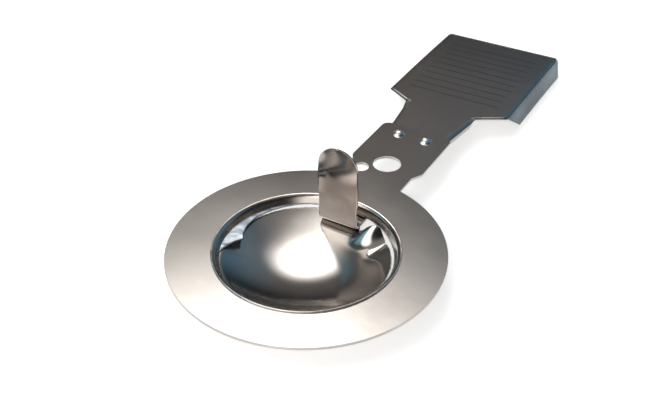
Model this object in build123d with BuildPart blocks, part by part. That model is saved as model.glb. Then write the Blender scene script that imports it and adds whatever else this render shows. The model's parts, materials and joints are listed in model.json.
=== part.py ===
from build123d import *
from math import cos, radians, sin, sqrt, tan
import os

# Burst rupture disc: a dished disc sheet on a hinge ring, with a riveted name tag.
# Millimetres. The origin is on the disc's axis, in the upper seating face of the
# flange. +Z is the outlet side, and +Y runs along the neck to the name tag.

# --- driving dimensions ---------------------------------------------------
flange_radius = 39.0        # outside of both ring layers
sheet = 0.45                # one layer of the flange and the neck
mouth_radius = 25.7         # where the flange turns down into the opening
wall_draft = 24.0           # lean of the short wall, degrees from vertical
wall_depth = 2.5            # wall below the seating face
lip_bend = 1.1              # rounding of the seating face into the wall

petal_thickness = 0.4       # the burst dome, now hanging as a bowl
petal_gap = 0.9             # torn slit between the bowl's edge and the wall, seen from above
petal_shift = 0.3           # the bowl has slid towards the joined side
petal_drop = 0.7            # slit between the wall's end and the bowl's edge
bowl_depth = 5.6            # hollow of the bowl below its own edge
joined_from = 198.0         # the stretch where the bowl still joins the wall
joined_to = 316.0

ledge_from = 124.0          # pointed remnant that stayed on the wall, degrees
ledge_to = 210.0
ledge_corner_angle = 187.0  # its free corner
ledge_width = 5.0           # how far that corner stands off the wall
ledge_reach = 0.9           # how far its upper edge stands off the wall

ripple_angle = 65.0         # arched ripple in the bowl's edge beside the tongue
ripple_radius = 3.0         # half width of the arch at the edge
ripple_length = 9.0         # how far it runs into the bowl
ripple_wall = 0.4

tongue_width = 12.2         # upright hinge tongue
tongue_thickness = 0.6
tongue_height = 22.7        # top above the seating face
tongue_setback = 6.6        # from the wall's end to its face
tongue_dip = 3.5            # underside of its root below the seating face
tongue_bend = 1.5           # radius of its bends, at the middle of the sheet
tongue_clearance = 0.5      # air between the tongue and the disc sheet
hinge_gap = 0.4             # lower layer's opening stands back from the wall

neck_narrow = 20.4          # neck beside the flange
neck_width = 24.4           # neck at the tag
neck_end = 72.0             # end edge, from the disc's axis
neck_step = 45.3            # where the neck begins to widen
neck_step_length = 3.7
neck_corner = 2.6

large_hole = 8.8            # alignment holes in the neck
large_hole_y = 49.0
small_hole = 4.8
small_hole_x = -6.3
small_hole_y = 43.7

tag_sheet = 0.5
tag_width = 44.6            # over the bent-down sides, at the top
tag_front = 89.5            # near edge of the tag's wide plate
tag_end = 146.5             # far edge
tag_side = 7.6              # depth of the bent-down sides
tag_side_flare = 8.0        # degrees that they lean outwards
tag_bend = 1.6              # bend radius of the sides, outside
shoulder = 6.0              # how far the near edges slope back
side_slope = 10.0           # how far the sides' near ends slope back

stem_root_width = 21.4      # tag's stem at the end of the neck
stem_width = 26.0           # and where it meets the plate
stem_side = 1.8             # its turned-down edges
stem_tuck = 10.5            # how much of it lies under the neck

rivet_spacing = 9.6
rivet_y = 67.0
rivet_shank = 2.4
rivet_clearance = 0.05      # between the shank and its holes, each side
rivet_head = 4.4
rivet_head_height = 1.1
rivet_tail = 3.8
rivet_tail_height = 0.5

# --- worked out from them ---------------------------------------------------
lean = tan(radians(wall_draft))
wall_across = sheet / cos(radians(wall_draft))      # sheet measured level
wall_radius = mouth_radius - wall_depth * lean      # opening at the wall's end
petal_radius = wall_radius - petal_gap              # free edge of the bowl
petal_edge = -wall_depth - petal_drop               # top of the bowl's edge
tongue_face = wall_radius - tongue_setback          # its distance from the disc's axis
bowl_sphere = (petal_radius**2 + bowl_depth**2) / (2 * bowl_depth)
bowl_centre = petal_edge + bowl_sphere - bowl_depth
hinge_radius = mouth_radius + wall_across + hinge_gap
layers_under = -2 * sheet                           # underside of both layers
tag_top = layers_under
tag_under = tag_top - tag_sheet
rivet_hole = rivet_shank / 2 + rivet_clearance
rivet_places = [(side * rivet_spacing / 2, rivet_y) for side in (-1, 1)]


def polar(radius, angle):
    """A point in the plane of the disc, by its distance and direction."""
    return (radius * cos(radians(angle)), radius * sin(radians(angle)))


def bowl_top(radius):
    """Height of the bowl's upper face at a distance from its own axis."""
    return bowl_centre - sqrt(bowl_sphere**2 - radius**2)


# --- plan of the neck, shared by both layers ----------------------------------
half_neck = neck_width / 2
half_narrow = neck_narrow / 2
neck_widened = neck_step + neck_step_length
neck_root = (mouth_radius + flange_radius) / 2      # buried in the flange
with BuildSketch() as neck_plan:
    with BuildLine():
        Polyline(
            (-half_narrow, neck_root),
            (-half_narrow, neck_step),
            (-half_neck, neck_widened),
            (-half_neck, neck_end),
            (half_neck, neck_end),
            (half_neck, neck_widened),
            (half_narrow, neck_step),
            (half_narrow, neck_root),
            close=True,
        )
    make_face()
    fillet(neck_plan.vertices().group_by(Axis.Y)[-1], neck_corner)
    with Locations((0, large_hole_y)):
        Circle(large_hole / 2, mode=Mode.SUBTRACT)
    with Locations((small_hole_x, small_hole_y)):
        Circle(small_hole / 2, mode=Mode.SUBTRACT)
    with Locations(*rivet_places):
        Circle(rivet_hole, mode=Mode.SUBTRACT)

# --- the bowl: a spherical cap, slid towards its joined side -------------------
slid = polar(petal_shift, (joined_from + joined_to) / 2)
bowl_axis = Plane((slid[0], slid[1], 0), x_dir=(1, 0, 0), z_dir=(0, -1, 0))
bowl_low = petal_edge - bowl_depth
with BuildPart() as bowl:
    with BuildSketch(bowl_axis) as bowl_section:
        with BuildLine():
            ThreePointArc(
                (petal_radius, petal_edge),
                (petal_radius / 2, bowl_top(petal_radius / 2)),
                (0, bowl_low),
            )
            Line((0, bowl_low), (0, bowl_low - petal_thickness))
            ThreePointArc(
                (0, bowl_low - petal_thickness),
                (petal_radius / 2, bowl_top(petal_radius / 2) - petal_thickness),
                (petal_radius, petal_edge - petal_thickness),
            )
            Line((petal_radius, petal_edge - petal_thickness), (petal_radius, petal_edge))
        make_face()
    revolve(axis=Axis((slid[0], slid[1], 0), (0, 0, 1)))
    # room for the root of the tongue
    root_room = petal_radius - tongue_face - 3 * tongue_clearance
    with BuildSketch(Plane.XY.offset(bowl_low - sheet)):
        with Locations((0, petal_radius + slid[1])):
            Rectangle(tongue_width + 2 * tongue_clearance, 2 * root_room)
    extrude(amount=bowl_depth + wall_depth, mode=Mode.SUBTRACT)

# --- arched ripple in the bowl's edge: half a hollow cone ----------------------
ripple_edge = Vector(*polar(petal_radius, ripple_angle), petal_edge) + Vector(*slid, 0)
ripple_start = petal_radius - ripple_length
ripple_tip = Vector(*polar(ripple_start, ripple_angle), bowl_top(ripple_start)) + Vector(*slid, 0)
ripple_plane = Plane(origin=ripple_tip, z_dir=ripple_edge - ripple_tip)
ripple_run = (ripple_edge - ripple_tip).length
with BuildPart() as ripple:
    with Locations(ripple_plane):
        Cone(ripple_wall, ripple_radius, ripple_run, align=(Align.CENTER, Align.CENTER, Align.MIN))
with BuildPart() as ripple_hollow:
    with Locations(ripple_plane.offset(ripple_wall)):
        Cone(
            ripple_wall / 4,
            ripple_radius - ripple_wall,
            ripple_run,
            align=(Align.CENTER, Align.CENTER, Align.MIN),
        )
with BuildPart() as above_bowl:
    with Locations((slid[0], slid[1], bowl_centre)):
        Sphere(bowl_sphere + petal_thickness)

# --- upper layer: flange, neck, lip, wall, remnant and bowl --------------------
with BuildPart() as disc_sheet:
    with BuildSketch(Plane.XZ) as lip_section:
        with BuildLine():
            Polyline(
                (flange_radius, 0),
                (mouth_radius, 0),
                (wall_radius, -wall_depth),
                (wall_radius + wall_across, -wall_depth),
                (mouth_radius + wall_across - sheet * lean, -sheet),
                (flange_radius, -sheet),
                close=True,
            )
        make_face()
        bends = lip_section.vertices().filter_by_position(
            Axis.X, mouth_radius - sheet, mouth_radius + 2 * sheet
        )
        fillet(bends.sort_by(Axis.Y)[-1], lip_bend)
    revolve(axis=Axis.Z)
    with BuildSketch():
        add(neck_plan.sketch)
    extrude(amount=-sheet)

    # pointed remnant of the dome that stayed on the wall
    with BuildSketch(Plane.XY.offset(-wall_depth)):
        with BuildLine():
            ledge_wall = wall_radius + wall_across / 2
            corner = polar(wall_radius - ledge_width, ledge_corner_angle)
            middle = (ledge_from + ledge_corner_angle) / 2
            RadiusArc(polar(ledge_wall, ledge_to), polar(ledge_wall, ledge_from), ledge_wall)
            Line(polar(ledge_wall, ledge_from), polar(wall_radius - ledge_reach, ledge_from))
            Spline(
                polar(wall_radius - ledge_reach, ledge_from),
                polar(wall_radius - 1.5 * ledge_reach, middle),
                corner,
            )
            Spline(
                corner,
                polar(wall_radius - 2 * ledge_reach, (ledge_corner_angle + ledge_to) / 2),
                polar(ledge_wall, ledge_to),
            )
        make_face()
    extrude(amount=petal_thickness)

    # the bowl with its ripple, and the stretch that still joins it to the wall
    add(bowl.part - ripple_hollow.part)
    add((ripple.part - ripple_hollow.part) & above_bowl.part)
    joint_in = petal_radius - petal_shift / 2
    joint_rise = bowl_top(petal_radius - petal_shift)
    start_ray = polar(1, joined_from)
    with BuildSketch(Plane((0, 0, 0), x_dir=(*start_ray, 0), z_dir=(start_ray[1], -start_ray[0], 0))):
        with BuildLine():
            Polyline(
                (wall_radius, -wall_depth + sheet / 2),
                (wall_radius + wall_across, -wall_depth + sheet / 2),
                (wall_radius + wall_across / 2, joint_rise - petal_thickness / 2),
                (joint_in, joint_rise - 0.9 * petal_thickness),
                (joint_in, joint_rise - petal_thickness / 4),
                close=True,
            )
        make_face()
    revolve(axis=Axis.Z, revolution_arc=joined_to - joined_from)
disc_sheet.part.label = "disc_sheet"

# --- lower layer: ring, neck and the upright hinge tongue ----------------------
with BuildPart() as tongue:
    middle = tongue_thickness / 2
    with BuildSketch(Plane.YZ):
        with BuildLine() as tongue_path:
            FilletPolyline(
                (hinge_radius + 3 * tongue_bend, -sheet - middle),
                (hinge_radius + middle, -sheet - middle),
                (hinge_radius + middle, -tongue_dip + middle),
                (tongue_face + middle, -tongue_dip + middle),
                (tongue_face + middle, tongue_height),
                radius=(tongue_bend / 2, tongue_bend / 2, tongue_bend),
            )
        trace(line_width=tongue_thickness)
    extrude(amount=tongue_width / 2, both=True)
    # the free end is a full round
    with BuildSketch(Plane.XZ):
        with Locations((0, tongue_height - tongue_width / 2)):
            Circle(tongue_width / 2)
            Rectangle(tongue_width, 2 * tongue_height, align=(Align.CENTER, Align.MAX))
    extrude(amount=-flange_radius, mode=Mode.INTERSECT)

with BuildPart() as hinge_ring:
    with BuildSketch(Plane.XY.offset(-sheet)):
        Circle(flange_radius)
        Circle(hinge_radius, mode=Mode.SUBTRACT)
        add(neck_plan.sketch)
    extrude(amount=-sheet)
    add(tongue.part)
hinge_ring.part.label = "hinge_ring"

# --- name tag: stem, shoulders and bent-down sides -----------------------------
half_tag = tag_width / 2
tag_length = tag_end - tag_front
side_out = half_tag + tag_side * tan(radians(tag_side_flare))
with BuildPart() as tag_plate:
    with BuildSketch(Plane.XZ.offset(-tag_end)):
        with BuildLine():
            FilletPolyline(
                (-side_out + tag_sheet / 2, tag_top - tag_side),
                (-half_tag + tag_sheet / 2, tag_top - tag_sheet / 2),
                (half_tag - tag_sheet / 2, tag_top - tag_sheet / 2),
                (side_out - tag_sheet / 2, tag_top - tag_side),
                radius=tag_bend - tag_sheet / 2,
            )
        trace(line_width=tag_sheet)
    extrude(amount=tag_length)
    # shoulders that slope back from the stem
    with BuildSketch(Plane.XY.offset(tag_top)):
        with BuildLine():
            Polyline(
                (-stem_width / 2, tag_front),
                (-side_out, tag_front + shoulder),
                (-side_out, tag_end),
                (side_out, tag_end),
                (side_out, tag_front + shoulder),
                (stem_width / 2, tag_front),
                close=True,
            )
        make_face()
    extrude(amount=-2 * tag_side, mode=Mode.INTERSECT)
    # the sides' near ends slope back as well
    with BuildSketch(Plane.YZ):
        with BuildLine():
            Polyline(
                (tag_front, tag_top - 2 * tag_sheet),
                (tag_front + shoulder, tag_top - 2 * tag_sheet),
                (tag_front + shoulder + side_slope, tag_top - tag_side),
                (tag_front, tag_top - tag_side),
                close=True,
            )
        make_face()
    extrude(amount=side_out, both=True, mode=Mode.SUBTRACT)

with BuildPart() as tag_stem:
    with BuildSketch(Plane.XY.offset(tag_top)) as stem_plan:
        with BuildLine():
            Polyline(
                (-stem_root_width / 2, neck_end),
                (-stem_width / 2, tag_front),
                (stem_width / 2, tag_front),
                (stem_root_width / 2, neck_end),
                close=True,
            )
        make_face()
    extrude(amount=-stem_side)
    upper_sides = tag_stem.faces().sort_by(Axis.Z)[-1].edges().filter_by(Axis.X, reverse=True)
    fillet(upper_sides, stem_side - tag_sheet)
    with BuildSketch(Plane.XY.offset(tag_under)):
        with BuildLine():
            Polyline(
                (-stem_root_width / 2 + tag_sheet, neck_end),
                (-stem_width / 2 + tag_sheet, tag_front),
                (stem_width / 2 - tag_sheet, tag_front),
                (stem_root_width / 2 - tag_sheet, neck_end),
                close=True,
            )
        make_face()
    extrude(amount=-stem_side, mode=Mode.SUBTRACT)

with BuildPart() as name_tag:
    add(tag_plate.part)
    add(tag_stem.part)
    with BuildSketch(Plane.XY.offset(tag_top)):
        with Locations((0, neck_end)):
            Rectangle(
                stem_root_width - 2 * stem_side,
                stem_tuck,
                align=(Align.CENTER, Align.MAX),
            )
            Rectangle(stem_root_width - 2 * stem_side, stem_side, align=(Align.CENTER, Align.MIN))
        with Locations(*rivet_places):
            Circle(rivet_hole, mode=Mode.SUBTRACT)
    extrude(amount=-tag_sheet)
name_tag.part.label = "name_tag"

# --- two rivets through neck and tag -------------------------------------------
with BuildPart() as rivet:
    with BuildSketch(Plane.XZ):
        with BuildLine():
            Line((0, rivet_head_height), (0, tag_under - rivet_tail_height))
            Line((0, tag_under - rivet_tail_height), (rivet_tail / 2, tag_under - rivet_tail_height))
            Line((rivet_tail / 2, tag_under - rivet_tail_height), (rivet_tail / 2, tag_under))
            Line((rivet_tail / 2, tag_under), (rivet_shank / 2, tag_under))
            Line((rivet_shank / 2, tag_under), (rivet_shank / 2, 0))
            Line((rivet_shank / 2, 0), (rivet_head / 2, 0))
            head_sphere = (rivet_head**2 / 4 + rivet_head_height**2) / (2 * rivet_head_height)
            RadiusArc((rivet_head / 2, 0), (0, rivet_head_height), -head_sphere)
        make_face()
    revolve(axis=Axis.Z)

# --- write every piece ---------------------------------------------------------
pieces = {"disc_sheet": disc_sheet.part, "hinge_ring": hinge_ring.part, "name_tag": name_tag.part}
for side, place in zip(("left", "right"), rivet_places):
    placed = Location((*place, 0)) * rivet.part
    placed.label = f"rivet_{side}"
    pieces[placed.label] = placed

os.makedirs("parts", exist_ok=True)
for name, piece in pieces.items():
    export_step(piece, f"parts/{name}.step")
    print(name, len(piece.solids()), round(piece.volume, 1), piece.bounding_box())
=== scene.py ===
# %% [markdown]
# # A burst rupture disc in Blender
# A rupture disc is a thin metal dome held in a flange. When the pressure is too
# high, the dome gives way and a hinge tongue catches it. This one has burst: the
# dome hangs as a bowl, torn from the flange over most of its rim. The lesson takes
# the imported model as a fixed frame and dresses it, piece by piece.

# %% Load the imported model
import json
import math

import bmesh
import bpy
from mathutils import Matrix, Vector, noise


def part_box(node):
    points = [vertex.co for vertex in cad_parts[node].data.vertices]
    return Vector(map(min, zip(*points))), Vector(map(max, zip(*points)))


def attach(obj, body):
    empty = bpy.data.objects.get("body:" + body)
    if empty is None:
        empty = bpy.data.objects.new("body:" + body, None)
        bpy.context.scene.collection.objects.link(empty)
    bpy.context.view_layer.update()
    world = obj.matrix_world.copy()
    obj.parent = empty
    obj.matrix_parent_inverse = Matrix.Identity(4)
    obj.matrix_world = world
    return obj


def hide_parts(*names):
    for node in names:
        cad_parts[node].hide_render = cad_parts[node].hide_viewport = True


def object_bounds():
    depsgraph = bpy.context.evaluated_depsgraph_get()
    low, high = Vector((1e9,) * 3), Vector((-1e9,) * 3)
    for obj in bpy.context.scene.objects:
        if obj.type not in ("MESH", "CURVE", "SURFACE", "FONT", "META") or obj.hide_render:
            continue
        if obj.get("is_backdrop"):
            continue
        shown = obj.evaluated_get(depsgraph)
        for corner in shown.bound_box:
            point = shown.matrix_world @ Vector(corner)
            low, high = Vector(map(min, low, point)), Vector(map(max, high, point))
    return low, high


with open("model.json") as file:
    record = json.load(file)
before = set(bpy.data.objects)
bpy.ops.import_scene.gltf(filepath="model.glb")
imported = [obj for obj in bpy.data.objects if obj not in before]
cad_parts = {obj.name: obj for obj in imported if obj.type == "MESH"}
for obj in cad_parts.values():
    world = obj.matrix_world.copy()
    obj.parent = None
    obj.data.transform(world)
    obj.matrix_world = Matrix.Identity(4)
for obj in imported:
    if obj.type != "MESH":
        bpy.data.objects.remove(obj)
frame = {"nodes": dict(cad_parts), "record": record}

cad_low, cad_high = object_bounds()
nodes = frame["nodes"]
print("nodes:", ", ".join(sorted(nodes)))

# %% [markdown]
# ## Sizes
# Every piece has to line up with its neighbours to a fraction of a millimetre. So the
# sizes that more than one piece needs stand here once, in metres. What the frame can
# tell is read from it, and the rest are the sheet metal's own sizes.

# %% Sizes shared by the pieces
MM = 0.001
_, disc_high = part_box("disc_sheet")
hinge_low, hinge_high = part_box("hinge_ring")
tag_low, tag_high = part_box("name_tag")
flange_radius = disc_high.x
neck_end = disc_high.y
sheet_thickness = tag_high.z / -2       # the tag hangs below two layers
mouth_radius = 25.7 * MM                # where the flange turns down
wall_depth = 2.5 * MM
wall_draft = 24                         # lean of the short wall, in degrees
wall_lean = math.tan(math.radians(wall_draft))
wall_end_radius = mouth_radius - wall_depth * wall_lean
petal_radius = wall_end_radius - 0.9 * MM
petal_edge_height = -3.2 * MM
petal_thickness = 0.4 * MM
joined_from, joined_to = 198.0, 316.0   # where the bowl still joins the wall
print(f"flange {2 * flange_radius / MM:.1f} mm across, neck to {neck_end / MM:.1f} mm")

# %% [markdown]
# ## From points to a piece
# Formed sheet is easiest to make from a formula: work out the points, join them with
# faces, and let a Solidify modifier give the surface its thickness. Both helpers are
# short, because every piece goes through them. The first also marks edges sharper
# than an angle, so that folds stay crisp while curves are shaded smooth.


# %% Helpers for a piece
def new_piece(name, points, faces, material, smooth_angle):
    """A mesh piece that rides on the part's one body and is shaded smooth up to an angle."""
    mesh = bpy.data.meshes.new(name)
    mesh.from_pydata(points, [], faces)
    mesh.validate()
    cleaned = bmesh.new()
    cleaned.from_mesh(mesh)
    bmesh.ops.remove_doubles(cleaned, verts=cleaned.verts, dist=1e-7)
    bmesh.ops.recalc_face_normals(cleaned, faces=cleaned.faces)
    cleaned.to_mesh(mesh)
    cleaned.free()
    mesh.shade_smooth()
    mesh.set_sharp_from_angle(angle=math.radians(smooth_angle))
    piece = bpy.data.objects.new(name, mesh)
    bpy.context.scene.collection.objects.link(piece)
    mesh.materials.append(material)
    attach(piece, "root")
    return piece


def thicken(piece, thickness, offset=-1.0, rim_slot=0):
    """Gives a surface the thickness of its sheet, and its rim another material slot."""
    modifier = piece.modifiers.new("sheet", "SOLIDIFY")
    modifier.thickness = thickness
    modifier.offset = offset
    modifier.material_offset_rim = rim_slot


print("helpers for a piece are ready")

# %% [markdown]
# ## Shader groups
# Bare metal has no colour of its own to speak of: it is what it reflects. What makes
# it look real is how the reflection breaks up. Three effects are shared by the
# materials: the rolling grain of the sheet, the slow waves of thin metal that has
# been formed, and the smudges and stains of handling. Each could be built again in
# every material, but a node group with named inputs is built once, and every
# material sets its own scale and strength.

# %% Node helpers
FLOAT = "NodeSocketFloat"
COLOUR = "NodeSocketColor"


def new_group(name, inputs, outputs):
    """An empty shader node group with named sockets."""
    group = bpy.data.node_groups.new(name, "ShaderNodeTree")
    for label, kind, value in inputs:
        socket = group.interface.new_socket(label, in_out="INPUT", socket_type=kind)
        socket.default_value = value
    for label, kind in outputs:
        group.interface.new_socket(label, in_out="OUTPUT", socket_type=kind)
    return group, group.nodes.new("NodeGroupInput"), group.nodes.new("NodeGroupOutput")


def add_node(tree, kind, **settings):
    """A node with its properties set."""
    node = tree.nodes.new(kind)
    for key, value in settings.items():
        setattr(node, key, value)
    return node


def math_node(tree, operation, first, second=None):
    """A math node fed by sockets or plain numbers."""
    node = add_node(tree, "ShaderNodeMath", operation=operation)
    for index, value in enumerate((first, second)):
        if value is None:
            continue
        if isinstance(value, (int, float)):
            node.inputs[index].default_value = value
        else:
            tree.links.new(value, node.inputs[index])
    return node.outputs[0]


print("node helpers are ready")

# %% [markdown]
# ### Rolling grain
# Sheet steel comes out of the rolls with fine streaks in one direction. A scratch
# texture would need an image. Noise that is squeezed along one axis gives the same
# streaks at any size, and its Turn input lays them along the sheet.

# %% Rolling grain: fine streaks in one direction
grain_inputs = [("Fineness", FLOAT, 2600.0), ("Stretch", FLOAT, 0.03), ("Turn", FLOAT, 0.0)]
grain, grain_in, grain_out = new_group("RollingGrain", grain_inputs, [("Streaks", FLOAT)])
place = add_node(grain, "ShaderNodeTexCoord")
turn = add_node(grain, "ShaderNodeVectorRotate", rotation_type="Z_AXIS")
grain.links.new(place.outputs["Object"], turn.inputs["Vector"])
grain.links.new(grain_in.outputs["Turn"], turn.inputs["Angle"])
split = add_node(grain, "ShaderNodeSeparateXYZ")
grain.links.new(turn.outputs[0], split.inputs[0])
along = math_node(grain, "MULTIPLY", split.outputs[0], grain_in.outputs["Stretch"])
join = add_node(grain, "ShaderNodeCombineXYZ")
grain.links.new(along, join.inputs[0])
grain.links.new(split.outputs[1], join.inputs[1])
grain.links.new(split.outputs[2], join.inputs[2])
streak_noise = add_node(grain, "ShaderNodeTexNoise")
streak_noise.inputs["Detail"].default_value = 3.0
grain.links.new(join.outputs[0], streak_noise.inputs["Vector"])
grain.links.new(grain_in.outputs["Fineness"], streak_noise.inputs["Scale"])
grain.links.new(streak_noise.outputs[0], grain_out.inputs["Streaks"])
print("group:", grain.name)

# %% [markdown]
# ### Slow waves
# Thin sheet that has been pressed is never quite flat. The waves are far too low to
# see in outline, but they bend every reflection. Low, broad noise used as a bump
# height does that without adding faces.

# %% Slow waves of formed thin sheet
wave_inputs = [("Scale", FLOAT, 60.0), ("Unevenness", FLOAT, 0.5)]
waves, waves_in, waves_out = new_group("SheetWaves", wave_inputs, [("Height", FLOAT)])
place = add_node(waves, "ShaderNodeTexCoord")
wave_noise = add_node(waves, "ShaderNodeTexNoise")
wave_noise.inputs["Detail"].default_value = 1.0
waves.links.new(place.outputs["Object"], wave_noise.inputs["Vector"])
waves.links.new(waves_in.outputs["Scale"], wave_noise.inputs["Scale"])
waves.links.new(waves_in.outputs["Unevenness"], wave_noise.inputs["Distortion"])
waves.links.new(wave_noise.outputs[0], waves_out.inputs["Height"])
print("group:", waves.name)

# %% [markdown]
# ### Smudges and stains
# A used part carries fingermarks and a thin film of grime. They tint the metal a
# little and make it duller in the same places, so one noise drives both outputs: a
# colour between a clean and a stained tint, and a mask for the roughness.

# %% Handling: smudges and faint stains
stain_inputs = [
    ("Scale", FLOAT, 45.0),
    ("Clean", COLOUR, (0.6, 0.6, 0.6, 1)),
    ("Stained", COLOUR, (0.5, 0.5, 0.5, 1)),
]
stain_outputs = [("Color", COLOUR), ("Smudge", FLOAT)]
stains, stains_in, stains_out = new_group("Handling", stain_inputs, stain_outputs)
place = add_node(stains, "ShaderNodeTexCoord")
smudge_noise = add_node(stains, "ShaderNodeTexNoise")
smudge_noise.inputs["Detail"].default_value = 6.0
smudge_noise.inputs["Roughness"].default_value = 0.62
stains.links.new(place.outputs["Object"], smudge_noise.inputs["Vector"])
stains.links.new(stains_in.outputs["Scale"], smudge_noise.inputs["Scale"])
ramp = add_node(stains, "ShaderNodeMapRange")
ramp.inputs["From Min"].default_value = 0.35
ramp.inputs["From Max"].default_value = 0.7
stains.links.new(smudge_noise.outputs[0], ramp.inputs["Value"])
tint = add_node(stains, "ShaderNodeMix", data_type="RGBA")
stains.links.new(ramp.outputs[0], tint.inputs[0])
stains.links.new(stains_in.outputs["Clean"], tint.inputs[6])
stains.links.new(stains_in.outputs["Stained"], tint.inputs[7])
stains.links.new(tint.outputs[2], stains_out.inputs["Color"])
stains.links.new(ramp.outputs[0], stains_out.inputs["Smudge"])
print("group:", stains.name)

# %% [markdown]
# ## Materials
# All the pieces are stainless steel sheet, but no two have the same finish. The
# flange is satin, the burst dome and the tongue are nearly mirrors, the tag is dull
# and dark, with painted shade darker still on its bent sides, and the rivets are
# polished. One function makes them all, because they differ only in values: the two
# tints, the roughness and the strength of each effect.

# %% One sheet-metal material, with its values
smudge_share, streak_share = 0.6, 0.4   # what each adds to the roughness
streak_height = 0.02 * MM


def use_group(tree, group, **values):
    """Places a node group and sets its inputs."""
    node = add_node(tree, "ShaderNodeGroup", node_tree=group)
    for label, value in values.items():
        node.inputs[label].default_value = value
    return node


def sheet_metal(name, clean, stained, rough, grain_turn=0.0, grain_depth=0.2,
                grain_fineness=2600.0, wave_scale=60.0, wave_depth=0.0, stain_scale=45.0):
    """Metal with rolling grain, slow waves and smudges."""
    material = bpy.data.materials.new(name)
    material.use_nodes = True
    tree = material.node_tree
    shader = tree.nodes["Principled BSDF"]
    shader.inputs["Metallic"].default_value = 1.0
    # colour and roughness
    hands = use_group(tree, stains, Scale=stain_scale, Clean=(*clean, 1), Stained=(*stained, 1))
    tree.links.new(hands.outputs["Color"], shader.inputs["Base Color"])
    streaks = use_group(tree, grain, Fineness=grain_fineness, Turn=grain_turn)
    smudged = math_node(tree, "MULTIPLY", hands.outputs["Smudge"], smudge_share)
    streaked = math_node(tree, "MULTIPLY", streaks.outputs[0], streak_share)
    dulled = add_node(tree, "ShaderNodeMapRange")
    dulled.inputs["To Min"].default_value = rough[0]
    dulled.inputs["To Max"].default_value = rough[1]
    tree.links.new(math_node(tree, "ADD", smudged, streaked), dulled.inputs["Value"])
    tree.links.new(dulled.outputs[0], shader.inputs["Roughness"])
    # waves first, and the grain on top of them
    swell = use_group(tree, waves, Scale=wave_scale)
    wave_bump = add_node(tree, "ShaderNodeBump")
    wave_bump.inputs["Strength"].default_value = 1.0
    wave_bump.inputs["Distance"].default_value = wave_depth
    tree.links.new(swell.outputs[0], wave_bump.inputs["Height"])
    grain_bump = add_node(tree, "ShaderNodeBump")
    grain_bump.inputs["Strength"].default_value = grain_depth
    grain_bump.inputs["Distance"].default_value = streak_height
    tree.links.new(streaks.outputs[0], grain_bump.inputs["Height"])
    tree.links.new(wave_bump.outputs[0], grain_bump.inputs["Normal"])
    tree.links.new(grain_bump.outputs[0], shader.inputs["Normal"])
    return material


print("sheet_metal mixes", grain.name, waves.name, "and", stains.name)

# %% [markdown]
# ### The finishes
# A torn edge is rougher than a rolled face; its brighter colour is a painted highlight for the glints
# along the tear.
# The strip left on the wall is scuffed and bluish. The tag's bent sides are much darker
# than its plate, and that darkness is painted shade. Each is the same function with other values.

# %% The finishes of this part
satin_flange = sheet_metal(
    "satin_flange", (0.57, 0.54, 0.51), (0.46, 0.425, 0.40), (0.11, 0.20),
    grain_turn=0.5, grain_depth=0.12, wave_scale=16.0, wave_depth=0.25 * MM)
mirror_dome = sheet_metal(
    "mirror_dome", (0.56, 0.53, 0.50), (0.42, 0.39, 0.37), (0.09, 0.18),
    grain_turn=0.5, grain_depth=0.10, wave_scale=30.0, wave_depth=0.15 * MM)
# painted highlight: the pale colour stands in for the glints along the torn rims; the roughness and
# grain are the tear's own
torn_edge_painted_glint = sheet_metal(
    "torn_edge_painted_glint", (0.82, 0.80, 0.78), (0.66, 0.62, 0.58), (0.22, 0.5),
    grain_depth=0.8, grain_fineness=1400.0, wave_scale=500.0, wave_depth=0.2 * MM)
lip_steel = sheet_metal(
    "lip_steel", (0.62, 0.585, 0.55), (0.50, 0.45, 0.41), (0.14, 0.26),
    grain_depth=0.2, wave_scale=120.0, wave_depth=0.15 * MM)
scuffed_remnant = sheet_metal(
    "scuffed_remnant", (0.42, 0.46, 0.50), (0.28, 0.31, 0.35), (0.25, 0.5),
    grain_depth=0.9, grain_fineness=1200.0, wave_scale=220.0, wave_depth=0.35 * MM)
bright_tongue = sheet_metal(
    "bright_tongue", (0.48, 0.45, 0.43), (0.34, 0.30, 0.28), (0.08, 0.16),
    grain_turn=1.57, grain_depth=0.10, wave_scale=45.0, wave_depth=0.20 * MM)
dull_tag = sheet_metal(
    "dull_tag", (0.46, 0.43, 0.41), (0.36, 0.335, 0.32), (0.16, 0.24),
    grain_turn=0.2, grain_depth=0.12, wave_scale=22.0, wave_depth=0.15 * MM)
# painted shade: this darker copy of the tag's metal stands in for the shade on its bent sides
painted_shade_side = sheet_metal(
    "painted_shade_side", (0.055, 0.095, 0.12), (0.03, 0.045, 0.06), (0.22, 0.36),
    grain_depth=0.12, wave_scale=22.0, wave_depth=0.15 * MM)
polished_rivet = sheet_metal(
    "polished_rivet", (0.88, 0.86, 0.82), (0.70, 0.67, 0.63), (0.22, 0.34),
    grain_depth=0.3, wave_scale=300.0, wave_depth=0.05 * MM, stain_scale=400.0)
print("materials:", len(bpy.data.materials))

# %% [markdown]
# ### Ruled lines on the tag
# Tags like this one are printed with a table of rules. Thin boxes laid on the sheet
# would catch the light at their edges, which ink doesn't. So the lines are worked out
# from the place on the sheet and only darken its colour.

# %% Ruled lines printed on the tag
line_first = 100.0                      # its distance from the disc's axis, in millimetres
line_pitch = 4.2
line_width = 0.5
line_reach = 16.5                       # each side of the middle
line_count = 10
ink_colour = (0.05, 0.05, 0.13)
ink_strength = 0.55


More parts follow.
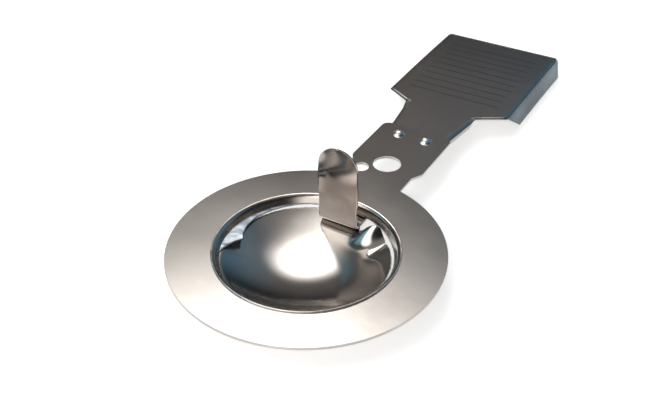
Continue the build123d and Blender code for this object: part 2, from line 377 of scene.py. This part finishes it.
def add_ruled_lines(material):
    """Mixes faint printed lines into the colour of a sheet, across its length."""
    tree = material.node_tree
    shader = tree.nodes["Principled BSDF"]
    bare = shader.inputs["Base Color"].links[0].from_socket
    place = add_node(tree, "ShaderNodeTexCoord")
    split = add_node(tree, "ShaderNodeSeparateXYZ")
    tree.links.new(place.outputs["Object"], split.inputs[0])
    along = math_node(tree, "MULTIPLY", split.outputs[1], 1 / MM)
    steps = math_node(tree, "DIVIDE", math_node(tree, "SUBTRACT", along, line_first), line_pitch)
    on_line = math_node(tree, "LESS_THAN", math_node(tree, "FRACT", steps), line_width / line_pitch)
    aside = math_node(tree, "ABSOLUTE", math_node(tree, "MULTIPLY", split.outputs[0], 1 / MM))
    inside = math_node(tree, "LESS_THAN", aside, line_reach)
    past_first = math_node(tree, "GREATER_THAN", steps, 0.0)
    before_last = math_node(tree, "LESS_THAN", steps, line_count - 0.5)
    lines = math_node(tree, "MULTIPLY", on_line, inside)
    lines = math_node(tree, "MULTIPLY", lines, past_first)
    lines = math_node(tree, "MULTIPLY", lines, before_last)
    printed = add_node(tree, "ShaderNodeMix", data_type="RGBA")
    printed.inputs[7].default_value = (*ink_colour, 1)
    tree.links.new(math_node(tree, "MULTIPLY", lines, ink_strength), printed.inputs[0])
    tree.links.new(bare, printed.inputs[6])
    tree.links.new(printed.outputs[2], shader.inputs["Base Color"])


add_ruled_lines(dull_tag)
print("ruled lines:", line_count)

# %% [markdown]
# ## Flat sheets of the flange
# Both layers are flat blanks punched from sheet: a ring with a neck, a large opening
# and holes. A boolean could cut the holes, but it leaves long thin faces. A filled 2D
# curve suits a blank better: its outline is drawn once, holes included, and a small
# bevel rounds the sheared edge all the way round.

# %% Outline of a blank
neck_narrow = 10.2 * MM                 # half the neck's width beside the ring
neck_half = 12.2 * MM                   # and at its end
neck_step = 45.3 * MM                   # where it begins to widen
neck_widened = 49.0 * MM
neck_corner = 2.6 * MM
ring_steps, hole_steps, corner_steps = 240, 64, 16


def arc(centre, radius, start, end, steps):
    """Points along an arc, angles in degrees."""
    angles = [math.radians(start + (end - start) * i / steps) for i in range(steps + 1)]
    return [(centre[0] + radius * math.cos(a), centre[1] + radius * math.sin(a)) for a in angles]


def blank_outline():
    """Ring and neck: round the ring, then up the left side of the neck and down the right."""
    meet = math.degrees(math.asin(neck_narrow / flange_radius))
    ring = arc((0, 0), flange_radius, 90 - meet, -270 + meet, ring_steps)
    inset = neck_half - neck_corner
    left = arc((-inset, neck_end - neck_corner), neck_corner, 180, 90, corner_steps)
    right = arc((inset, neck_end - neck_corner), neck_corner, 90, 0, corner_steps)
    sides = [(-neck_narrow, neck_step), (-neck_half, neck_widened)]
    return ring + sides + left + right + [(-x, y) for x, y in reversed(sides)]


print("points in the outline:", len(blank_outline()))

# %% [markdown]
# ### The holes in the neck
# Two round holes take the holder's pins, and two small ones the rivets. The record
# states the first two as bores, so their places and sizes are read from it, and the
# rivets' places come from their own boxes. Nothing here can drift from the solids.

# %% Holes in the neck
rivets = ("rivet_left", "rivet_right")
rivet_hole = 1.25 * MM
holes = []
for mount in frame["record"]["mounts"]:
    if mount["kind"] == "bore":
        holes.append((mount["pos_m"][:2], mount["dims"]["r_mm"] * MM))
for rivet in rivets:
    low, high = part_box(rivet)
    holes.append((((low + high) / 2)[:2], rivet_hole))
print("holes in the neck:", len(holes))

# %% [markdown]
# ### Punching the blanks
# The curve is turned into a mesh at once, because the piece needs its own shading:
# the small rounding stays sharp, so that it doesn't shade the flat faces. The upper
# blank's opening ends where the lip begins to bend, and the lower one stands back.

# %% Upper and lower blank
edge_round = 0.05 * MM
blank_smooth = 8
lip_bend = 1.1 * MM
lip_turn = math.radians(90 - wall_draft)
lip_start = mouth_radius + lip_bend * math.tan(lip_turn / 2)
lower_opening = mouth_radius + 0.9 * MM


def blank(name, top, opening, material):
    """A punched sheet with its upper face at a given height."""
    outlines = [blank_outline(), arc((0, 0), opening, 0, 360, ring_steps)[:-1]]
    for centre, radius in holes:
        outlines.append(arc(centre, radius, 0, 360, hole_steps)[:-1])
    curve = bpy.data.curves.new(name, "CURVE")
    curve.dimensions = "2D"
    curve.fill_mode = "BOTH"
    curve.extrude = sheet_thickness / 2 - edge_round
    curve.bevel_depth = edge_round
    curve.bevel_resolution = 2
    curve.offset = -edge_round
    for outline in outlines:
        spline = curve.splines.new("POLY")
        spline.points.add(len(outline) - 1)
        for point, (x, y) in zip(spline.points, outline):
            point.co = (x, y, 0, 1)
        spline.use_cyclic_u = True
    drawn = bpy.data.objects.new(name + "_curve", curve)
    bpy.context.scene.collection.objects.link(drawn)
    bpy.context.view_layer.update()
    graph = bpy.context.evaluated_depsgraph_get()
    made = bpy.data.meshes.new_from_object(drawn.evaluated_get(graph))
    points = [(v.co.x, v.co.y, v.co.z + top - sheet_thickness / 2) for v in made.vertices]
    faces = [tuple(f.vertices) for f in made.polygons]
    bpy.data.objects.remove(drawn)
    return new_piece(name, points, faces, material, blank_smooth)


flange = blank("flange_sheet", 0.0, lip_start, satin_flange)
backing = blank("backing_sheet", -sheet_thickness, lower_opening, satin_flange)
print("blanks:", len(flange.data.polygons), "and", len(backing.data.polygons), "faces")

# %% [markdown]
# ## Round forms and torn edges
# The lip, the bowl and the remnant all go round the axis, and all end in a torn edge.
# A lathe modifier would make them perfectly round. A grid of rows and columns, bent
# by a formula, can be ragged in one place and smooth in the next, so these helpers
# give the grid's faces, an easy slope between two values, and the tear.

# %% Helpers for round forms
around = 480                            # columns in a full turn
ragged_depth = 0.22 * MM


def smooth_step(low, high, value):
    """0 below low, 1 above high, and an easy slope between."""
    t = min(1.0, max(0.0, (value - low) / (high - low)))
    return t * t * (3 - 2 * t)


def wrap(degrees):
    """An angle brought between -180 and 180 degrees."""
    return (degrees + 180) % 360 - 180


def rows_to_faces(rows, columns, closed):
    """Quads between neighbouring points of a grid."""
    faces = []
    for row in range(rows - 1):
        for column in range(columns if closed else columns - 1):
            beside = (column + 1) % columns
            faces.append((row * columns + column, row * columns + beside,
                          (row + 1) * columns + beside, (row + 1) * columns + column))
    return faces


def joined_share(angle):
    """1 where the bowl still joins the wall, 0 where it has torn away."""
    middle, half = (joined_from + joined_to) / 2, (joined_to - joined_from) / 2
    return 1 - smooth_step(half - 8, half + 3, abs(wrap(angle - middle)))


def tear(angle, seed, scale=26.0):
    """Ragged offset along a torn edge, from -1 to 1: long bites with small teeth on them."""
    ray = Vector((math.cos(math.radians(angle)), math.sin(math.radians(angle)), seed))
    return noise.noise(ray * scale * 0.25) * 0.6 + noise.noise(ray * scale) * 0.4


print("columns in a full turn:", around)

# %% [markdown]
# ## Lip and wall
# At the opening the upper sheet turns down through a small bend into a short leaning
# wall, which was the root of the dome before it tore. Its end is ragged, so each
# point of the last ring is moved a little by noise, but not where the bowl still
# joins it.

# %% The lip's profile and its mesh
lip_steps, wall_steps = 8, 5
bend_end = -lip_bend * (1 - math.cos(lip_turn))


def lip_point(angle, step):
    """A point of the profile: round the bend first, and then down the wall."""
    if step <= lip_steps:
        turned = lip_turn * step / lip_steps
        radius = lip_start - lip_bend * math.sin(turned)
        height = -lip_bend * (1 - math.cos(turned))
    else:
        share = (step - lip_steps) / wall_steps
        ragged = ragged_depth * tear(angle, 3.0) * (1 - joined_share(angle))
        height = bend_end + (-wall_depth + ragged - bend_end) * share
        radius = mouth_radius + height * wall_lean
    ray = math.radians(angle)
    return (radius * math.cos(ray), radius * math.sin(ray), height)


lip_rows = lip_steps + wall_steps + 1
lip_points = [lip_point(360 * column / around, step)
              for step in range(lip_rows) for column in range(around)]
lip_faces = rows_to_faces(lip_rows, around, True)
lip = new_piece("lip_and_wall", lip_points, lip_faces, lip_steel, 60)
lip.data.materials.append(torn_edge_painted_glint)
thicken(lip, sheet_thickness * 0.95, rim_slot=1)
print("lip and wall:", len(lip.data.polygons), "faces")

# %% [markdown]
# ## The burst bowl
# The dome turned inside out and hangs as a bowl, a little deeper towards its joined
# side. It could be sculpted, but a formula over a polar grid can be tuned one value
# at a time. It starts with the edge, which follows the wall where it is joined, makes
# room for the tongue, and is ragged and pulled back where it is torn.

# %% The bowl's edge
joint_overlap = 0.1 * MM
notch_y = 20.4 * MM                     # a straight edge behind the tongue
notch_full, notch_gone = 14.5, 17.5     # degrees each side of it
torn_back = 3.6 * MM                    # and beside it the edge has pulled back
torn_from, torn_full, torn_until, torn_to = 56, 68, 71, 76


def bowl_edge(angle):
    """Distance of the bowl's edge from the axis, and its height."""
    joined = joined_share(angle)
    radius = petal_radius + ragged_depth * tear(angle, 7.0, 34.0)
    notch = notch_y / max(0.3, math.sin(math.radians(angle)))
    in_notch = 1 - smooth_step(notch_full, notch_gone, abs(wrap(angle - 90)))
    radius += (min(radius, notch) - radius) * in_notch
    torn = smooth_step(torn_from, torn_full, angle) * (1 - smooth_step(torn_until, torn_to, angle))
    radius -= torn_back * torn
    radius += (wall_end_radius + joint_overlap - radius) * joined
    height = petal_edge_height + (-wall_depth - joint_overlap - petal_edge_height) * joined
    return radius, height


print(f"edge beside the tongue: {bowl_edge(70)[0] / MM:.1f} mm from the axis")

# %% [markdown]
# ### The bowl's surface
# From its edge the metal sinks as a shallow cap that leans to one side. Beside the
# tongue it folded up into an arch as it tore, with a trough next to it, and both fade
# out towards the middle. Shallow dents near the rim break the mirror a little.

# %% The bowl's surface
bowl_depth = 5.2 * MM
skew = Vector((0.03, -0.29))            # how much deeper it gets towards +x and +y
edge_power = 6                          # how close to the rim the edge's height is felt
ripple_angle = 62.0
ripple_height = 3.0 * MM
ripple_near, ripple_far = 2.3, 3.2      # width of the arch on its two sides, in millimetres
ripple_from = 0.60                      # share of the radius where it begins
trough_depth, trough_aside, trough_width = 0.25, 6.0, 2.6
dent_scale, dent_height = 70, 0.12 * MM


def arch_and_trough(beside):
    """Height of the ripple at a distance in millimetres from its ridge, as a share."""
    width = ripple_near if beside > 0 else ripple_far
    arch = math.exp(-((beside / width) ** 2))
    return arch - trough_depth * math.exp(-(((beside + trough_aside) / trough_width) ** 2))


def bowl_point(angle, share):
    """A point of the bowl's upper face: share is 0 at its axis and 1 at its edge."""
    edge_radius, edge_height = bowl_edge(angle)
    radius = edge_radius * share
    ray = math.radians(angle)
    x, y = radius * math.cos(ray), radius * math.sin(ray)
    across = min(1.0, radius / petal_radius)
    towards = (x * skew.x + y * skew.y) / petal_radius
    at_edge = share ** edge_power
    height = edge_height * at_edge + petal_edge_height * (1 - at_edge)
    height -= bowl_depth * (1 - across * across) * (1 + towards)
    from_ridge = wrap(angle - ripple_angle)
    if abs(from_ridge) < 80:
        beside = radius * math.sin(math.radians(from_ridge)) / MM
        height += ripple_height * arch_and_trough(beside) * smooth_step(ripple_from, 1.0, across)
    dent = noise.noise(Vector((x, y, 0.4)) * dent_scale) * dent_height
    height += dent * smooth_step(0.35, 0.9, across)
    return (x, y, height)


print(f"lowest in the middle: {bowl_point(0, 0)[2] / MM:.1f} mm")

# %% [markdown]
# ### The bowl's mesh
# The grid runs from a tiny ring at the axis, closed by one face, out to the edge. The
# sheet's thickness is added below the surface, and its rim takes the rough metal of
# a fresh tear, whose pale colour is a painted highlight.

# %% The bowl's mesh
bowl_steps = 90
first_ring = 0.002                      # share of the radius where the grid begins
bowl_points = [bowl_point(360 * column / around, first_ring + (1 - first_ring) * row / bowl_steps)
               for row in range(bowl_steps + 1) for column in range(around)]
bowl_faces = rows_to_faces(bowl_steps + 1, around, True)
bowl_faces.append(tuple(range(around)))
bowl = new_piece("burst_bowl", bowl_points, bowl_faces, mirror_dome, 70)
bowl.data.materials.append(torn_edge_painted_glint)
thicken(bowl, petal_thickness * 0.9, rim_slot=1)
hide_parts("disc_sheet")
print("bowl:", len(bowl.data.polygons), "faces")

# %% [markdown]
# ## The remnant on the wall
# At the back a pointed strip of the dome stayed on the wall. It is a band between the
# wall and a torn line that comes to a corner, and it droops a little towards it. A
# formula for its width suits it well: slow growth up to the corner, a quick fall
# after it, and the same tear as the other edges.

# %% How wide the remnant is
remnant_from, remnant_corner, remnant_to = 100.0, 187.0, 212.0
root_reach, strip_reach, corner_reach = 0.25, 0.9, 4.2      # in millimetres
full_reach = root_reach + strip_reach + corner_reach


def remnant_width(angle):
    """How far the strip reaches in from the wall, in metres."""
    if angle < remnant_corner:
        share = (angle - remnant_from) / (remnant_corner - remnant_from)
        reach = root_reach + strip_reach * smooth_step(0.0, 0.6, share) + corner_reach * share ** 5
    else:
        share = (angle - remnant_corner) / (remnant_to - remnant_corner)
        reach = full_reach * (1 - share) ** 1.6 + 0.05
    return (reach + 0.16 * tear(angle, 12.0, 40.0)) * MM


print(f"the remnant reaches {remnant_width(remnant_corner) / MM:.1f} mm in from the wall")

# %% [markdown]
# ### The remnant's mesh
# The strip is a grid like the others, but open at both ends. Its free side hangs a
# little lower than its root, and noise crumples it, because this metal was torn
# rather than pressed.

# %% The remnant's mesh
remnant_columns, remnant_rows = 180, 10
root_overlap, root_lift = 0.15 * MM, 0.25 * MM
remnant_droop, remnant_crumple = 0.35 * MM, 0.12 * MM
remnant_points = []
for row in range(remnant_rows + 1):
    for column in range(remnant_columns + 1):
        angle = remnant_from + (remnant_to - remnant_from) * column / remnant_columns
        share = row / remnant_rows
        radius = wall_end_radius + root_overlap - remnant_width(angle) * share
        droop = remnant_droop * share * remnant_width(angle) / (5 * MM)
        crumple = noise.noise(Vector((angle * 0.11, share * 1.5, 2.0))) * remnant_crumple * share
        ray = math.radians(angle)
        height = -wall_depth + root_lift - droop + crumple
        remnant_points.append((radius * math.cos(ray), radius * math.sin(ray), height))
remnant_faces = rows_to_faces(remnant_rows + 1, remnant_columns + 1, False)
remnant = new_piece(
    "wall_remnant", remnant_points, remnant_faces, scuffed_remnant, 60)
remnant.data.materials.append(torn_edge_painted_glint)
thicken(remnant, petal_thickness * 0.9, rim_slot=1)
print("remnant:", len(remnant.data.polygons), "faces")

# %% [markdown]
# ## The hinge tongue
# The tongue comes from the lower sheet, dips under the wall and stands up in the
# opening. Seen from the side it is a path with two bends, so that comes first: out
# from under the ring, down, in and up. The rows crowd together towards the top,
# where the rounded end needs them.

# %% The tongue's path, as (y, z)
tongue_half = 6.1 * MM
tongue_top = hinge_high.z
tongue_thickness = 0.6 * MM
tongue_face = 18.0 * MM                 # its distance from the axis
tongue_under = hinge_low.z + tongue_thickness
root_end, root_edge = 30.0 * MM, 27.3 * MM
dip_y, dip_bend = 26.8 * MM, 0.8 * MM
foot_bend = 1.4 * MM
upright_rows = 60
tongue_path = [(root_end, -sheet_thickness - 0.1 * MM), (root_edge, -sheet_thickness - 0.15 * MM)]
tongue_path += arc((dip_y, tongue_under + dip_bend), dip_bend, 0, -90, 6)
tongue_path += arc((tongue_face + foot_bend, tongue_under + foot_bend), foot_bend, 270, 180, 8)
upright_from = tongue_path[-1][1]
for row in range(1, upright_rows + 1):
    share = 1 - (1 - row / upright_rows) ** 1.6
    tongue_path.append((tongue_face, upright_from + (tongue_top - upright_from) * share))
print("tongue stands", round((tongue_top - tongue_under) / MM, 1), "mm above its foot")

# %% [markdown]
# ### The tongue's curves
# Thin springy metal is not flat: it bulges forward across its width, leans back at
# the top, waves a little and is slightly twisted. A bump would not change where the
# long soft reflections fall, so these curves are in the mesh. The bulge depends on
# the place across the sheet, so the rounded end carries it on without a kink.

# %% The tongue's mesh
tongue_columns = 32
tongue_crown, tongue_lean = 0.8 * MM, 0.5 * MM
tongue_twist, tongue_wave = 0.35 * MM, 0.25 * MM
rise_from = 1.0 * MM                    # the curves begin this far below the seat
upright_within = 20 * MM                # what is nearer to the axis stands upright
tongue_points = []
for y, z in tongue_path:
    above = max(0.0, z - (tongue_top - tongue_half))
    half = math.sqrt(max(0.0, tongue_half ** 2 - above ** 2)) if above else tongue_half
    rise = 0
    if y < upright_within:
        rise = smooth_step(0.0, 1.0, (z + rise_from) / (tongue_top + rise_from))
    for column in range(tongue_columns + 1):
        x = (2 * column / tongue_columns - 1) * half
        aside = x / tongue_half
        crown = -tongue_crown * (1 - aside * aside) * smooth_step(0.0, 0.35, rise)
        lean = tongue_lean * rise * rise + tongue_wave * math.sin(2 * math.pi * rise)
        twist = tongue_twist * aside * math.sin(math.pi * rise)
        tongue_points.append((x, y + crown + lean + twist, z))
tongue_faces = rows_to_faces(len(tongue_path), tongue_columns + 1, False)
tongue = new_piece("hinge_tongue", tongue_points, tongue_faces, bright_tongue, 60)
thicken(tongue, tongue_thickness, offset=1.0)
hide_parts("hinge_ring")
print("tongue:", len(tongue.data.polygons), "faces")

# %% [markdown]
# ## The name tag
# The tag is one folded sheet: a wide plate with two sides bent down, and a narrower
# stem with turned-down edges that is riveted under the neck. Folded sheet is best
# built flat, as a grid, with its cross-section swept along it. Each column of the
# grid starts where the sheet is cut, so the sloping cuts come without a boolean.

# %% The tag's cross-section
tag_sheet = 0.5 * MM
tag_top = tag_high.z
tag_near, tag_far = 89.5 * MM, tag_high.y
tag_half = 22.3 * MM
tag_side = 7.6 * MM
tag_bend = 1.6 * MM
side_flare = math.radians(8)
side_turn = math.pi / 2 - side_flare
stem_half = 13.0 * MM                   # half the stem's width where it meets the plate


def spread(low, high, count):
    """Evenly spaced numbers, ends included."""
    return [low + (high - low) * i / count for i in range(count + 1)]


def tag_section():
    """Points (x, z) of the plate's upper face, from the middle out over one side."""
    bend_from = tag_half - tag_bend * math.tan(side_turn / 2)
    section = [(x, 0.0) for x in spread(0, stem_half, 8)]
    section += [(x, 0.0) for x in spread(stem_half, bend_from, 5)[1:]]
    for turned in spread(0, side_turn, 8)[1:]:
        section.append((bend_from + tag_bend * math.sin(turned), -tag_bend * (1 - math.cos(turned))))
    for depth in spread(-section[-1][1], tag_side, 5)[1:]:
        section.append((tag_half + depth * math.tan(side_flare), -depth))
    return section


half_section = tag_section()
section = [(-x, z) for x, z in reversed(half_section[1:])] + half_section
side_out = max(x for x, z in section)
print(f"tag: {2 * side_out / MM:.1f} mm over its bent sides")

# %% [markdown]
# ### The plate
# The section goes along the plate in rows. The shoulders and the ends of the sides
# slope back, so a column further out starts further along. The far half hangs a
# little, and low waves keep the wide sheet from looking like glass.

# %% The tag's plate
shoulder, side_slope = 6.0 * MM, 10.0 * MM
corner_round, corner_from = 0.9 * MM, 0.82
droop_from, droop_depth = 112.0 * MM, 0.5 * MM
plate_wave = 0.10 * MM
plate_rows = 40


def tag_droop(y):
    """How far the plate hangs at a distance from the axis."""
    share = max(0.0, (y - droop_from) / (tag_far - droop_from))
    return -droop_depth * share * share


tag_points = []
for row in range(plate_rows + 1):
    for x, z in section:
        beyond_stem = max(0.0, abs(x) - stem_half) / (side_out - stem_half)
        near = tag_near + shoulder * beyond_stem + side_slope * max(0.0, -z - tag_sheet) / tag_side
        near += corner_round * smooth_step(corner_from, 1.0, beyond_stem)
        y = near + (tag_far - near) * row / plate_rows
        wave = noise.noise(Vector((x, y, 5.0)) * 45) * plate_wave * smooth_step(0.3, 1.0, beyond_stem)
        tag_points.append((x, y, tag_top + z + tag_droop(y) + wave))
tag_faces = rows_to_faces(plate_rows + 1, len(section), False)
print("plate:", len(tag_points), "points")

# %% [markdown]
# ### The stem
# The stem widens towards the plate. Its edges are turned down for stiffness, and the
# turn fades out where the plate begins, so each row has its own bend and depth.

# %% The tag's stem
stem_root_half = 10.7 * MM              # half its width at the neck's end
stem_side, stem_bend = 1.8 * MM, 1.3 * MM
edge_fades_from = 0.72                  # share of the stem's length
stem_rows, stem_flat, edge_columns = 24, 16, 6
first = len(tag_points)
stem_columns = stem_flat + 1 + 2 * edge_columns
for row in range(stem_rows + 1):
    share = row / stem_rows
    y = neck_end + (tag_near - neck_end) * share
    half = stem_root_half + (stem_half - stem_root_half) * share
    folded = 1 - smooth_step(edge_fades_from, 1.0, share)
    bend = stem_bend * folded
    edge = []
    for turned in spread(0, math.pi / 2, edge_columns - 1)[1:]:
        edge.append((half - bend + bend * math.sin(turned), -bend * (1 - math.cos(turned))))
    edge.append((half, -stem_side * folded))
    flat = [(x, 0.0) for x in spread(bend - half, half - bend, stem_flat)]
    for x, z in [(-x, z) for x, z in reversed(edge)] + flat + edge:
        tag_points.append((x, y, tag_top + z))
for face in rows_to_faces(stem_rows + 1, stem_columns, False):
    tag_faces.append(tuple(first + corner for corner in face))
print("with the stem:", len(tag_points), "points")

# %% [markdown]
# ### The strip under the neck, and the whole tag
# A flat strip of the stem lies under the neck, where the rivets hold it. It closes
# the tag's mesh. The faces out on the bent sides take a darker copy of the tag's metal,
# which is painted shade. It needs no second piece: a face's material index picks it.

# %% The strip under the neck and the finished tag
first = len(tag_points)
for y, half in ((tag_low.y, stem_root_half - stem_side), (neck_end, stem_root_half - stem_bend)):
    for x in spread(-half, half, stem_flat):
        tag_points.append((x, y, tag_top))
for face in rows_to_faces(2, stem_flat + 1, False):
    tag_faces.append(tuple(first + corner for corner in face))
tag = new_piece("folded_tag", tag_points, tag_faces, dull_tag, 30)
tag.data.materials.append(painted_shade_side)
# painted shade: the faces out on the bent sides get the darker copy
for face in tag.data.polygons:
    face.material_index = int(abs(face.center.x) > tag_half)
thicken(tag, tag_sheet)
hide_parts("name_tag")
print("tag:", len(tag.data.polygons), "faces")

# %% [markdown]
# ## The rivets
# Two small domed rivets hold the tag. They have their true shape in the frame
# already, so remaking them would gain nothing. They keep their meshes and get their
# finish.

# %% Dress the rivets
for rivet in rivets:
    nodes[rivet].data.materials.clear()
    nodes[rivet].data.materials.append(polished_rivet)
print("rivets dressed:", len(rivets))

# %% [markdown]
# ## The floor
# The part lies on a plain pale floor. More light would whiten it but would also
# bleach the metal. Instead its Light Path term lifts its colour towards white, only
# where the camera or a reflection sees it, and the shadow stays.

# %% The floor
floor_reach = 3.0
corners = [(-1, -1), (1, -1), (1, 1), (-1, 1)]
floor_points = [(x * floor_reach, y * floor_reach, cad_low.z) for x, y in corners]
floor_mesh = bpy.data.meshes.new("floor")
floor_mesh.from_pydata(floor_points, [], [(0, 1, 2, 3)])
floor = bpy.data.objects.new("floor", floor_mesh)
bpy.context.scene.collection.objects.link(floor)
floor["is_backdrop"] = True
pale = bpy.data.materials.new("pale_floor")
pale.use_nodes = True
tree = pale.node_tree
paint = tree.nodes["Principled BSDF"]
paint.inputs["Base Color"].default_value = (0.82, 0.82, 0.82, 1)
paint.inputs["Roughness"].default_value = 0.9
paint.inputs["Specular IOR Level"].default_value = 0.1
paint.inputs["Emission Color"].default_value = (1, 1, 1, 1)
path = add_node(tree, "ShaderNodeLightPath")
seen = math_node(tree, "MAXIMUM", path.outputs["Is Camera Ray"], path.outputs["Is Glossy Ray"])
seen = math_node(tree, "MAXIMUM", seen, path.outputs["Is Transmission Ray"])
tree.links.new(math_node(tree, "MULTIPLY", seen, 0.6), paint.inputs["Emission Strength"])
floor_mesh.materials.append(pale)
print("floor at", round(cad_low.z / MM, 1), "mm")

# %% [markdown]
# ## A studio of soft glows
# A metal part needs something worth reflecting, and the edge of every reflection has
# to be soft. Lamps with hard borders would draw those borders in the bowl, so the
# light comes from the world: round glows that fade out, each added to the one before.
# The large one stands behind and above the disc, where its reflection falls in the
# bowl and on the near side of the flange. The neck and the tag reflect lower
# directions and stay dark.

# %% A round glow in the sky
room_colour = (0.022, 0.024, 0.028)     # where no glow reaches
world = bpy.data.worlds.new("studio")
world.use_nodes = True
sky = world.node_tree
where = add_node(sky, "ShaderNodeTexCoord")
looking = add_node(sky, "ShaderNodeVectorMath", operation="NORMALIZE")
sky.links.new(where.outputs["Generated"], looking.inputs[0])


def soft_glow(below, azimuth, elevation, inner, outer, colour, strength):
    """Adds a round glow to the sky: full inside one angle, gone outside the other."""
    a, e = math.radians(azimuth), math.radians(elevation)
    centre = (-math.sin(a) * math.cos(e), math.cos(a) * math.cos(e), math.sin(e))
    near = add_node(sky, "ShaderNodeVectorMath", operation="DOT_PRODUCT")
    near.inputs[1].default_value = centre
    sky.links.new(looking.outputs[0], near.inputs[0])
    fade = add_node(sky, "ShaderNodeMapRange", interpolation_type="SMOOTHSTEP")
    fade.inputs["From Min"].default_value = math.cos(math.radians(outer))
    fade.inputs["From Max"].default_value = math.cos(math.radians(inner))
    sky.links.new(near.outputs["Value"], fade.inputs["Value"])
    tinted = add_node(sky, "ShaderNodeVectorMath", operation="SCALE")
    tinted.inputs[0].default_value = [strength * channel for channel in colour]
    sky.links.new(fade.outputs[0], tinted.inputs["Scale"])
    total = add_node(sky, "ShaderNodeVectorMath", operation="ADD")
    if below is None:
        total.inputs[0].default_value = room_colour
    else:
        sky.links.new(below, total.inputs[0])
    sky.links.new(tinted.outputs[0], total.inputs[1])
    return total.outputs[0]


print("sky nodes so far:", len(sky.nodes))

# %% [markdown]
# ### What stands in the studio
# Each glow has its direction (azimuth and elevation, in degrees), the angles where it
# is full and where it is gone, its colour and its strength. Azimuth 0 is behind the
# part, 90 on its left and 180 in front.

# %% The glows
glows = {
    "the soft edge of a window": (37, 53.5, 10, 19, (1.0, 0.985, 0.96), 1.5),
    "and its bright middle": (37, 53.5, 3, 15, (1.0, 0.99, 0.97), 3.6),
    "a second window, in front": (143, 60, 6, 24, (1.0, 0.985, 0.96), 3.0),
    "a lamp low in front": (190, 34, 4, 17, (1.0, 0.93, 0.82), 2.4),
    "what they light up around them": (40, 50, 15, 42, (1.0, 0.92, 0.85), 0.12),
    "the ceiling": (0, 90, 0, 32, (1.0, 0.95, 0.90), 0.30),
    "a cool pane on the left": (112, 34, 4, 24, (0.40, 0.80, 1.0), 0.8),
    "cool daylight on the right": (-25, 30, 5, 45, (0.30, 0.68, 1.0), 0.26),
    "the bright room in front": (180, 9, 25, 50, (1.0, 0.97, 0.94), 1.5),
}
light = None
for glow in glows.values():
    light = soft_glow(light, *glow)
sky.links.new(light, sky.nodes["Background"].inputs["Color"])
bpy.context.scene.world = world
print("glows:", "; ".join(glows))

# %% [markdown]
# ## The camera
# The camera looks down on the disc from the front and a little to one side, with a
# normal lens. Its place follows from where it aims, from what direction and from how
# far, which is easier to adjust than a position and three angles.

# %% The camera
view_azimuth, view_elevation = math.radians(29.58), math.radians(35.78)
view_distance = 283.7 * MM
aim = Vector((-3.8, 20.7, 0)) * MM
back = Vector((
    math.sin(view_azimuth) * math.cos(view_elevation),
    -math.cos(view_azimuth) * math.cos(view_elevation),
    math.sin(view_elevation),
))
camera_data = bpy.data.cameras.new("camera")
camera_data.lens = 52.64
camera_data.sensor_width = 36
camera_data.clip_start = 0.01
camera = bpy.data.objects.new("camera", camera_data)
camera.location = aim + back * view_distance
camera.rotation_euler = (-back).to_track_quat("-Z", "Y").to_euler()
bpy.context.scene.collection.objects.link(camera)
bpy.context.scene.camera = camera
bpy.context.scene.view_settings.view_transform = "Standard"
print("camera", round(view_distance / MM), "mm from its aim")

# %% [markdown]
# ## Finish
# The dressed part has to keep the size of the solids. The last line prints the size
# of the dressed part's box.

# %% Sizes and finish
low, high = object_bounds()
print(f"visual: {(high.x - low.x) / MM:.1f} by {(high.y - low.y) / MM:.1f} mm")
